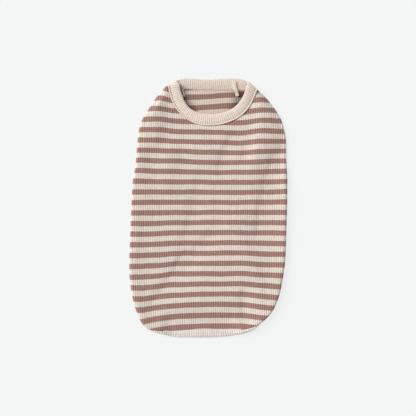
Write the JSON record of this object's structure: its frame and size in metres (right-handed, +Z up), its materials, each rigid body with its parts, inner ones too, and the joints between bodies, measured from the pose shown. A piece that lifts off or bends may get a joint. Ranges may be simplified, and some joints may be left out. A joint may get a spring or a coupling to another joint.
{
  "type": "dog vest",
  "caption": "Small dog's sleeveless rib-knit vest, laid flat with its back up: striped back and belly panels with ribbed neck, hem and leg bindings.",
  "frame": {"origin": "on the surface the vest lies on, under the middle of its bounding box", "axes": "+Y along the vest towards the neck, +X to the right seen from above the dog's back, +Z up off the surface"},
  "size_m": [0.1582, 0.2592, 0.0081],
  "materials": {
    "striped_rib": "matte rib knit in even brown and cream stripes",
    "cream_rib": "matte cream rib knit, folded double"
  },
  "bodies": {
    "root": {"back_panel": "striped_rib", "belly_panel": "striped_rib", "neck_binding": "cream_rib", "neck_seam_tail": "cream_rib", "hem_band": "cream_rib", "leg_binding_left": "cream_rib", "leg_binding_right": "cream_rib"}
  },
  "joints": []
}
